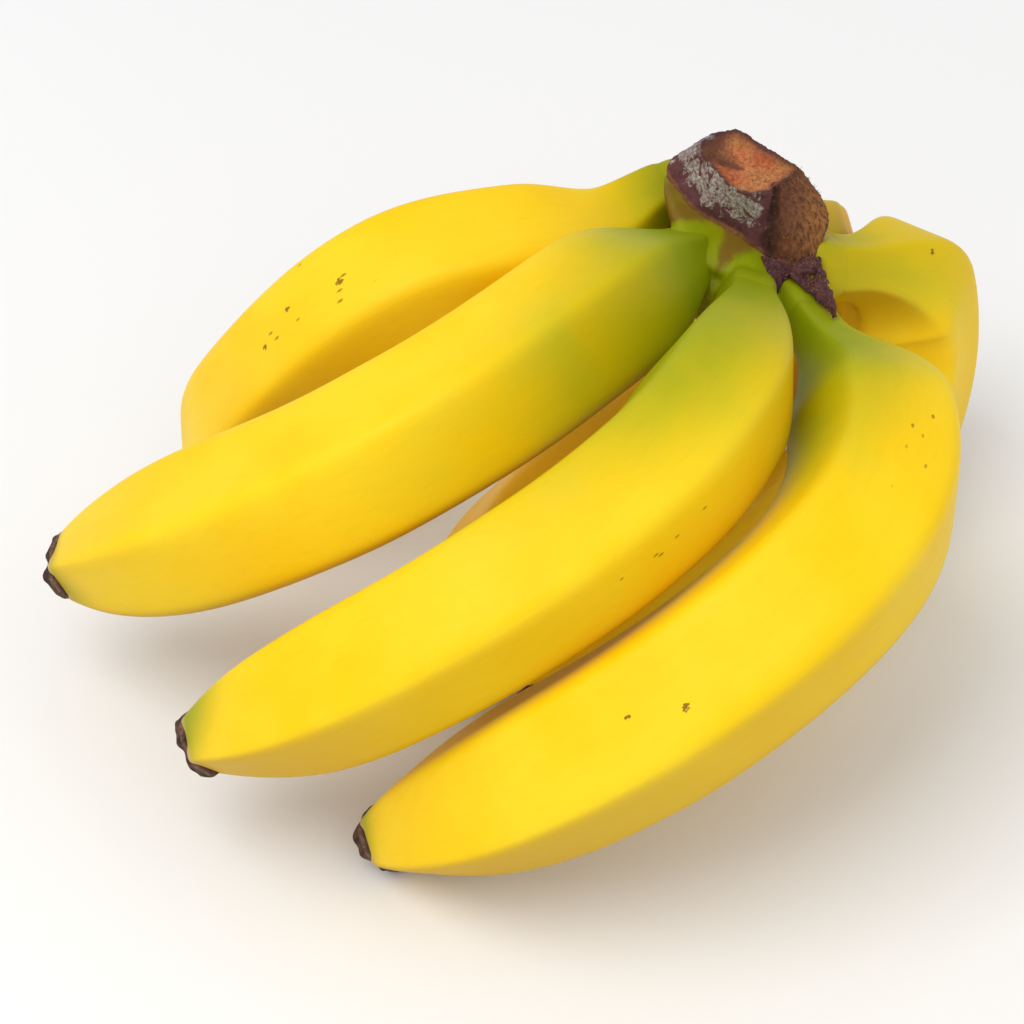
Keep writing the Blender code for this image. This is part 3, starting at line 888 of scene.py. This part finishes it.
@dataclass
class Crown:
    """The cut crown: green cushion with the roots of the necks, dried cut block, two torn flaps.

    Attributes:
        bananas: the bananas that grow from it.
        cushion_mm: rings of corners of the cushion, from its foot to the seat of the dried block.
        neck_reach: share of a banana's length that the crown's skin runs along its neck.
        web_mm: middle of the web between the two front left necks.
        web_half_mm: the web's half sizes.
        levels_mm: rings of corners of the dried block, from its foot to its top edge; each starts
            at the left end, runs along the front to the crease, round the right face and the back.
        grain: face size of the block's mesh.
    """

    bananas: tuple[Banana, ...]
    cushion_mm: tuple = (
        ((44, 60, 68), (44, 57, 68), (46, 54, 67), (48, 51, 67), (51, 49, 67), (55, 48, 66),
         (60, 47, 66), (63, 48, 66), (63, 53, 66), (60, 58, 67), (56, 61, 67), (48, 63, 68)),
        ((38, 62, 76), (38, 57, 74), (41, 51, 72), (44.5, 46.5, 71), (49, 43, 70), (54.5, 41.5, 70),
         (60, 41.5, 69), (65, 43, 69), (67.5, 52, 71), (64, 61, 72), (56, 67, 73), (44, 70, 76)),
        ((34.6, 62, 88), (34.7, 54.6, 86.4), (37.5, 46.2, 84.3), (40.9, 41, 82.4), (47.2, 37.8, 81),
         (53.9, 37.2, 79.6), (60, 41.5, 75), (65.5, 43.5, 75), (68.5, 52, 78), (66, 62, 80),
         (57, 69, 82), (43, 71, 86)),
        ((34.9, 63.2, 91), (37, 58.2, 88.5), (40.4, 53.8, 86.5), (45, 50.8, 84.5), (50, 47.8, 83.4),
         (54.7, 45.4, 81.5), (60, 43.5, 78), (65.5, 45, 79), (68, 52, 81), (65.5, 61, 83),
         (57.5, 67.5, 85.5), (44, 69.5, 89.5)),
        ((40, 62, 91), (41, 59, 89), (44, 56, 87), (47, 54, 85), (51, 52, 84), (55, 50, 82),
         (59, 49, 80), (63, 50, 80), (64, 53, 82), (62, 59, 84), (56, 63, 86), (46, 66, 90)),
    )
    neck_reach: float = 0.035
    web_mm: tuple = (44.5, 41.5, 72.5)
    web_half_mm: tuple = (6.0, 6.5, 7.0)
    levels_mm: tuple = (
        ((42, 62, 76), (43, 56, 75), (47, 51, 75), (51, 47, 75), (55, 43, 75), (58, 40, 74),
         (62, 39, 74), (65, 42, 75), (65, 50, 76), (62, 58, 76), (56, 64, 76), (48, 67, 76)),
        ((35, 63, 91), (37, 58.5, 88), (40.6, 54.1, 86), (45, 51.5, 84), (50, 48.5, 83), (54.7, 45.6, 81),
         (60, 42, 78), (66, 43, 79), (69, 52, 82), (66, 61, 84), (58, 68, 86), (44, 70, 90)),
        ((37.4, 62.5, 95.5), (39.6, 58.5, 93), (42.6, 53.6, 91.5), (47, 50.5, 90.5), (51.5, 47.8, 90),
         (55.2, 46.5, 89), (61, 43.5, 87), (69.2, 50, 87.5), (69, 56, 88), (65, 62, 90), (57, 67, 93),
         (45, 68.5, 95.5)),
        ((40.8, 61, 99), (42.2, 57.6, 98.5), (44.5, 54.5, 98), (47.5, 50, 96.5), (51, 47.5, 96.3),
         (56.3, 47.2, 96.8), (60, 51, 97), (63.3, 56.2, 96.5), (60.5, 57.6, 98), (56, 59.5, 99.5),
         (50.3, 62.6, 102), (45.8, 62.8, 101.4)),
    )
    grain: float = 0.4 * MM

    WALL_SIDES = 156
    WALL_RINGS = 46
    TOP_RINGS = 24
    TOP_HOLLOW = 2.2 * MM
    TOP_DIP = 0.96 * MM
    LIP_HEIGHT = 1.0 * MM
    CREASE_DEPTH = 1.8 * MM
    CUSHION_GRAIN = 0.6 * MM
    ROOT_SIDES = 64
    ROOT_FADE = 0.9 * MM
    ROOT_SHRINK = 3.0 * MM
    ROOT_COVER = 0.25 * MM
    # Each layer of roughness: size, seed, height in mm, and how its humps shrink upwards
    ROUGH_LAYERS = ((3.0 * MM, 5.1, 0.45, 1.0), (1.1 * MM, 9.7, 0.22, 1.0), (0.9 * MM, 2.2, 0.25, 0.25))
    ZONES = ("band", "face", "edge", "mould", "gold", "line", "top_painted_shade", "flap")

    def build_cushion(self) -> bpy.types.Object:
        """The green cushion and neck roots, fused into one smooth skin."""
        masses = [loft("cushion", self.skin_through(self.cushion_mm, 40, 96))]
        for banana in self.bananas:
            stop = banana.start + self.neck_reach
            shares = np.linspace(0, stop, 24)
            fade = ease((shares - banana.start) / self.neck_reach) * -self.ROOT_FADE
            root = ease(1 - shares / banana.start) * -self.ROOT_SHRINK
            skin = banana.rings(shares, self.ROOT_SIDES, fade + root + self.ROOT_COVER)
            masses.append(loft("neck_root", skin))
        masses.append(loft("web", self.web()))
        cushion = join("crown_cushion", masses)
        melt(cushion, self.CUSHION_GRAIN, 9)
        self.store_cushion(cushion)
        return cushion

    @staticmethod
    def skin_through(levels_mm: tuple, rings: int, sides: int) -> np.ndarray:
        """Rings of points on a smooth skin through rings of corners."""
        corners = np.array([guided(level) for level in levels_mm])
        wall = np.array([through(level, sides, closed=True) for level in corners])
        return through(wall, rings, closed=False)

    def web(self) -> np.ndarray:
        """Rings of the fleshy web that fills the fork between the two front left necks."""
        turn = np.linspace(0, math.tau, 32, endpoint=False)
        rise = np.linspace(-math.pi / 2, math.pi / 2, 16)[1:-1]
        middle = guided(self.web_mm)
        half = np.array(self.web_half_mm) * MM
        ball = np.stack([np.cos(rise)[:, None] * np.cos(turn), np.cos(rise)[:, None] * np.sin(turn),
                         np.sin(rise)[:, None] * np.ones(32)], axis=2)
        return middle + ball * half

    def store_cushion(self, cushion: bpy.types.Object) -> None:
        """Give the cushion the nearest banana's tints, olive and bruises of its own, and painted shade where
        it faces down.
        """
        points = points_of(cushion)
        found = [banana.locate(points) for banana in self.bananas]
        gaps = np.array([one[2] for one in found])
        nearest = gaps.argmin(axis=0)
        names = self.bananas[0].tints(np.zeros(1), np.zeros(1)).keys()
        values = {name: np.zeros((len(points), 3) if name == "skin" else len(points)) for name in names}
        for index, banana in enumerate(self.bananas):
            mine = nearest == index
            for name, tint in banana.tints(found[index][0][mine], found[index][1][mine]).items():
                values[name][mine] = tint
        for name, tint in values.items():
            set_values(cushion, name, tint)
        height = (points[:, 2] + GUIDE_ORIGIN[2]) / MM
        own = ease((gaps.min(axis=0) - 0.2 * MM) / (2.6 * MM))
        set_values(cushion, "cushion", own)
        set_values(cushion, "bruise", own * (0.45 + 0.5 * bump(height, 85, 9)))
        # painted shade: the faces that turn down get the peel's tan
        set_values(cushion, "low", 0.4 * ease((0.1 - normals_of(cushion)[:, 2]) / 0.8))

    def block_surface(self) -> tuple[np.ndarray, np.ndarray, np.ndarray]:
        """The dried block's surface.

        Returns:
            Its points by ring and side, each ring's level and each side's corner number.
        """
        sides, top_level = self.WALL_SIDES, len(self.levels_mm) - 1
        places = np.linspace(0, top_level, self.WALL_RINGS)
        wall = self.skin_through(self.levels_mm, self.WALL_RINGS, sides)
        rim = wall[-1]
        down = np.array((0, 0, -1))
        middle = rim.mean(axis=0) + down * self.TOP_HOLLOW
        inward = np.linspace(0, 1, self.TOP_RINGS + 2)[1:-1]
        top = [rim * (1 - step) + middle * step + down * self.TOP_DIP * math.sin(math.pi * step)
               for step in inward]
        levels = np.concatenate([places, top_level + inward])
        numbers = np.arange(sides) * len(self.levels_mm[0]) / sides
        push = self.LIP_HEIGHT * bump(numbers, 4.75, 0.6) - self.CREASE_DEPTH * bump(numbers, 5.5, 0.5)
        push = push[None, :] * ease((places - 0.9) / 0.4)[:, None]
        away = unit((wall - wall.mean(axis=1, keepdims=True)) * np.array((1, 1, 0)))
        wall = wall + away * push[:, :, None]
        return np.vstack([wall, top]), levels, numbers

    def build_block(self) -> bpy.types.Object:
        """The dried block with its flaps, fused, roughened and sorted into zones."""
        points, levels, numbers = self.block_surface()
        block = loft("block", points)
        top_level = len(self.levels_mm) - 1
        level = np.repeat(levels, points.shape[1])
        number = np.tile(numbers, len(levels))
        top = ease((level - top_level) / 0.12)
        face = ease((number - 5.1) / 0.5) * (1 - ease((number - 8.2) / 0.8)) * (1 - top)
        band = (1 - face) * (1 - top)
        # painted shade: the crease between the band and the right face, and the band's foot over the
        # cushion, darkened as shade
        crease = bump(number, 5.45, 0.42) * (1 - top) * ease((level - 1.0) / 0.3)
        edge = np.maximum(0.8 * bump(level, top_level, 0.10), crease)
        edge = np.maximum(edge, 0.6 * bump(level, 1.0, 0.10) * (1 - face))
        front = 1 - ease((number - 4.4) / 0.7) + ease((number - 10.8) / 0.8)
        mould = bump(level, 2.35, 1.15) * front
        gold = bump(number, 6.9, 1.2) * bump(level, 1.9, 1.2)
        line = bump(level, 1.16, 0.10) * (1 - face) * (1 - ease((number - 5) / 0.3))
        # painted shade on the top: darker near its rim and at the left end
        top_painted_shade = 0.8 * (1 - ease((level - top_level) / 0.35)) + bump(number, 0, 1.8) + bump(number, 12, 1.8)
        zones = np.stack([band, face, edge, mould, gold, line, np.clip(top_painted_shade, 0, 1)], axis=1)
        samples = points.reshape(-1, 3)
        bodies = [block]
        flap_points = []
        for flap in FLAPS:
            body = flap.build()
            bodies.append(body)
            flap_points.append(points_of(body))
        fused = join("crown_cut", bodies)
        melt(fused, self.grain, 2)
        self.store_zones(fused, samples, zones, np.vstack(flap_points))
        self.roughen(fused)
        return fused

    @staticmethod
    def store_zones(piece: bpy.types.Object, samples: np.ndarray, zones: np.ndarray,
                    flaps: np.ndarray) -> None:
        """Give each vertex of the fused block the zones of the nearest sample.

        Args:
            piece: the fused block.
            samples: points of the block before it was fused.
            zones: the zone shares of each sample.
            flaps: points of the flaps.
        """
        tree = KDTree(len(samples) + len(flaps))
        for index, point in enumerate(np.vstack([samples, flaps])):
            tree.insert(Vector(point), index)
        tree.balance()
        flap_zone = np.zeros((len(flaps), zones.shape[1]))
        known = np.hstack([np.vstack([zones, flap_zone]),
                           np.append(np.zeros(len(samples)), np.ones(len(flaps)))[:, None]])
        found = []
        for point in points_of(piece):
            near = tree.find_n(Vector(point), 6)
            found.append(known[[item[1] for item in near]].mean(axis=0))
        found = np.array(found)
        zone = dict(zip(Crown.ZONES, found.T))
        for name, values in zone.items():
            set_values(piece, name, values)
        on_top = (zone["band"] < 0.2) * (zone["face"] < 0.2)
        set_values(piece, "fuzz", 0.3 * zone["face"] + 0.35 * zone["flap"] + 0.25 * on_top)

    @staticmethod
    def roughen(piece: bpy.types.Object) -> None:
        """Roughen the dried surface with lumps, grain and upright fibres."""
        points = points_of(piece)
        height = sum(smooth_noise(points * np.array((1, 1, upright)), size, seed) * share
                     for size, seed, share, upright in Crown.ROUGH_LAYERS)
        move_points(piece, points + normals_of(piece) * (height * MM)[:, None])


@dataclass
class Flap:
    """A torn flap of dried skin that lies over the necks.

    Attributes:
        left_mm: points of its left edge, from the root to the tip.
        right_mm: points of its right edge, from the root to the tip.
        thickness: its thickness in metres.
        crown: how far its middle stands out between its edges.
        edge: thickness of its edges as a share of the middle's.
        rows: points along it.
        columns: points across it.
    """

    left_mm: tuple
    right_mm: tuple
    thickness: float = 1.5 * MM
    crown: float = 1.2 * MM
    edge: float = 0.35
    rows: int = 30
    columns: int = 13

    def build(self) -> bpy.types.Object:
        """The flap as a thin closed body."""
        left = through(guided(self.left_mm), self.rows, closed=False)
        right = through(guided(self.right_mm), self.rows, closed=False)
        across = np.linspace(0, 1, self.columns)
        sheet = left[:, None, :] * (1 - across)[None, :, None] + right[:, None, :] * across[None, :, None]
        along = unit(np.gradient(sheet, axis=0))
        wide = unit(right - left)[:, None, :]
        out = unit(np.cross(np.broadcast_to(wide, sheet.shape), along))
        out *= np.where(out[:, :, 1:2] > 0, -1, 1)
        lift = np.sin(np.pi * across)[None, :, None]
        sheet = sheet + out * lift * self.crown
        half = out * self.thickness / 2 * (self.edge + (1 - self.edge) * lift)
        rings = np.concatenate([sheet + half, (sheet - half)[:, ::-1]], axis=1)
        return loft("flap", rings)


FLAPS = (
    Flap(left_mm=((60.5, 41, 80), (62, 37, 80), (64.5, 32, 80.5), (67.5, 26.5, 80.5), (69.4, 23, 80.3)),
         right_mm=((68, 44, 81), (68.6, 40, 81), (69.4, 34, 81), (70.2, 27, 80.8), (70, 23, 80.5))),
    Flap(left_mm=((55.0, 44.5, 81), (55.5, 41, 79), (56.2, 38, 77), (57.0, 35.6, 75.4)),
         right_mm=((61.5, 42, 80), (60.5, 39.5, 78), (59.2, 37.2, 76.4), (57.8, 35.4, 75.2))),
)


@dataclass
class TornFibres:
    """Short torn fibres that stand on the dried cut, made by Geometry Nodes.

    Attributes:
        count_per_area: fibres on a square metre.
        length: their length in metres.
        thickness: their radius at the root in metres.
        seed: the draw of their places.
        lean: how far they lean at most, in radians.
        least: the shortest one's size as a share.
        most: the longest one's size as a share.
    """

    count_per_area: float = 1.6e6
    length: float = 1.0 * MM
    thickness: float = 0.07 * MM
    seed: int = 3
    lean: float = 0.9
    least: float = 0.5
    most: float = 1.2

    def tree(self, material: bpy.types.Material) -> bpy.types.NodeTree:
        """The node tree: points on the surface, a slim cone on each, realised as one mesh."""
        tree = bpy.data.node_groups.new("torn_fibres", "GeometryNodeTree")
        sockets = (("Geometry", "INPUT", "Geometry"), ("Density", "INPUT", "Float"),
                   ("Length", "INPUT", "Float"), ("Radius", "INPUT", "Float"),
                   ("Seed", "INPUT", "Int"), ("Geometry", "OUTPUT", "Geometry"))
        for name, way, kind in sockets:
            tree.interface.new_socket(name, in_out=way, socket_type=f"NodeSocket{kind}")

        def add(kind: str, inputs: dict, **settings: object) -> bpy.types.NodeOutputs:
            """A new node with its settings, its inputs linked or set; its outputs."""
            node = tree.nodes.new(kind)
            for name, value in settings.items():
                setattr(node, name, value)
            for key, value in inputs.items():
                if isinstance(value, bpy.types.NodeSocket):
                    tree.links.new(value, node.inputs[key])
                else:
                    node.inputs[key].default_value = value
            return node.outputs

        asked = add("NodeGroupInput", {})
        fuzz = add("GeometryNodeInputNamedAttribute", {"Name": "fuzz"}, data_type="FLOAT")
        density = add("ShaderNodeMath", {0: asked["Density"], 1: fuzz["Attribute"]}, operation="MULTIPLY")
        spots = add("GeometryNodeDistributePointsOnFaces",
                    {"Mesh": asked["Geometry"], "Density": density[0], "Seed": asked["Seed"]})
        cone = add("GeometryNodeMeshCone",
                   {"Vertices": 4, "Side Segments": 2, "Radius Top": 0.0, "Radius Bottom": asked["Radius"],
                    "Depth": asked["Length"]})
        lean = add("FunctionNodeRandomValue",
                   {"Min": (-self.lean, -self.lean, 0.0), "Max": (self.lean, self.lean, math.tau),
                    "Seed": asked["Seed"]}, data_type="FLOAT_VECTOR")
        turn = add("FunctionNodeRotateRotation",
                   {"Rotation": spots["Rotation"], "Rotate By": lean["Value"]}, rotation_space="LOCAL")
        size = add("FunctionNodeRandomValue",
                   {"Min": self.least, "Max": self.most, "Seed": asked["Seed"]}, data_type="FLOAT")
        placed = add("GeometryNodeInstanceOnPoints",
                     {"Points": spots["Points"], "Instance": cone["Mesh"], "Rotation": turn["Rotation"],
                      "Scale": size["Value"]})
        real = add("GeometryNodeRealizeInstances", {"Geometry": placed["Instances"]})
        painted = add("GeometryNodeSetMaterial", {"Geometry": real["Geometry"], "Material": material})
        add("NodeGroupOutput", {"Geometry": painted["Geometry"]})
        return tree

    def build(self, name: str, ground: bpy.types.Object, material: bpy.types.Material) -> bpy.types.Object:
        """The fibres on the ground object, as a plain mesh.

        Args:
            name: the new piece's name.
            ground: the piece they grow on; its attribute "fuzz" says how thickly.
            material: the fibres' finish.

        Returns:
            The new piece.
        """
        piece = bpy.data.objects.new(name, ground.data.copy())
        bpy.context.scene.collection.objects.link(piece)
        grow = piece.modifiers.new("fibres", "NODES")
        grow.node_group = self.tree(material)
        values = {"Density": self.count_per_area, "Length": self.length,
                  "Radius": self.thickness, "Seed": self.seed}
        for item in grow.node_group.interface.items_tree:
            if item.in_out == "INPUT" and item.name in values:
                grow[item.identifier] = values[item.name]
        apply_modifiers(piece)
        piece.data.shade_smooth()
        return piece


# The studio


@dataclass(frozen=True)
class Studio:
    """Pale floor, soft lights and the camera at the photograph's viewing angle.

    Attributes:
        aim_mm: the point that the camera looks at, from the guide origin.
        distance: from that point to the camera.
        elevation: degrees above the horizon.
        lens_mm: the camera's focal length.
        floor_half: half the floor's side.
        sky: strength of the even light from all round.
        lights: each soft light's name, place, side and power in watts.
    """

    aim_mm: tuple = (0, 0, 45)
    distance: float = 620 * MM
    elevation: float = 42.0
    lens_mm: float = 100.0
    floor_half: float = 4.0
    sky: float = 0.7
    lights: tuple = (("key", (-0.45, -0.35, 1.1), 0.8, 6.5), ("fill", (0.7, -0.7, 0.7), 0.9, 1.0))

    def build(self) -> None:
        """Make the floor, the lights, the world and the camera."""
        self.add_floor()
        self.add_camera()
        world = bpy.data.worlds.new("studio")
        bpy.context.scene.world = world
        world.use_nodes = True
        even = world.node_tree.nodes["Background"]
        even.inputs["Color"].default_value = (1, 1, 1, 1)
        even.inputs["Strength"].default_value = self.sky
        for light in self.lights:
            self.add_light(*light)
        settings = bpy.context.scene.view_settings
        settings.view_transform = "Standard"
        settings.look = "None"

    def add_floor(self) -> None:
        """A large plain pale floor under the bunch."""
        half = self.floor_half
        corners = np.array([(-half, -half, 0), (half, -half, 0), (half, half, 0), (-half, half, 0)])
        floor = new_mesh("floor", corners - np.array((0, 0, 0.05 * MM)), [(0, 1, 2, 3)])
        shader = Shader("floor")
        tone = shader.noise(shader.place(), 0.5, 2)
        colour = shader.mix(shader.ramp(tone, 0.3, 0.7), (0.93, 0.93, 0.93), (0.95, 0.95, 0.95))
        floor.data.materials.append(shader.finish(colour, 0.9, Specular_IOR_Level=0.1))

    def add_light(self, name: str, place: tuple, size: float, power: float) -> None:
        """A soft square light that points at the bunch.

        Args:
            name: its name.
            place: where it hangs, in metres.
            size: the side of its square.
            power: its power in watts.
        """
        data = bpy.data.lights.new(name, "AREA")
        data.size = size
        data.energy = power
        light = bpy.data.objects.new(name, data)
        light.location = place
        ahead = guided_vector(self.aim_mm) - Vector(place)
        light.rotation_euler = ahead.to_track_quat("-Z", "Y").to_euler()
        bpy.context.scene.collection.objects.link(light)

    def add_camera(self) -> None:
        """The camera."""
        data = bpy.data.cameras.new("camera")
        data.lens = self.lens_mm
        data.clip_start = 0.01
        camera = bpy.data.objects.new("camera", data)
        tilt = math.radians(self.elevation)
        back = Vector((0, -math.cos(tilt), math.sin(tilt)))
        camera.location = guided_vector(self.aim_mm) + back * self.distance
        camera.rotation_euler = (-back).to_track_quat("-Z", "Y").to_euler()
        bpy.context.scene.collection.objects.link(camera)
        bpy.context.scene.camera = camera


def guided_vector(point_mm: tuple) -> Vector:
    """One guided point as a vector."""
    return Vector(guided(point_mm))


def settle(piece: bpy.types.Object, nodes: tuple[str, ...],
           material: bpy.types.Material | None) -> None:
    """Give the piece its finish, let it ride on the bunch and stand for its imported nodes.

    Args:
        piece: the finished piece.
        nodes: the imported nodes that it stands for.
        material: its finish, or None where the mesh has it already.
    """
    if material is not None:
        piece.data.materials.clear()
        piece.data.materials.append(material)
    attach(piece, ROOT)
    if nodes:
        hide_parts(*nodes)
    LOG.info("%s: %d vertices", piece.name, len(piece.data.vertices))


def main() -> None:
    """Build the bunch and the studio."""
    logging.basicConfig(level=logging.INFO, format="%(name)s: %(message)s")
    peel = PeelFinish().make()
    blossom = BlossomFinish().make()
    for banana in BANANAS:
        settle(banana.build(), (f"banana_{banana.number}",), peel)
        settle(banana.build_blossom_end(), (f"blossom_end_{banana.number}",), blossom)
    crown = Crown(BANANAS)
    cushion = crown.build_cushion()
    block = crown.build_block()
    fibres = TornFibres().build("crown_fibres", block, FibreFinish().make())
    settle(cushion, ("crown",), peel)
    settle(block, (), CutFinish().make())
    settle(fibres, (), None)
    Studio().build()


if __name__ == "__main__":
    main()
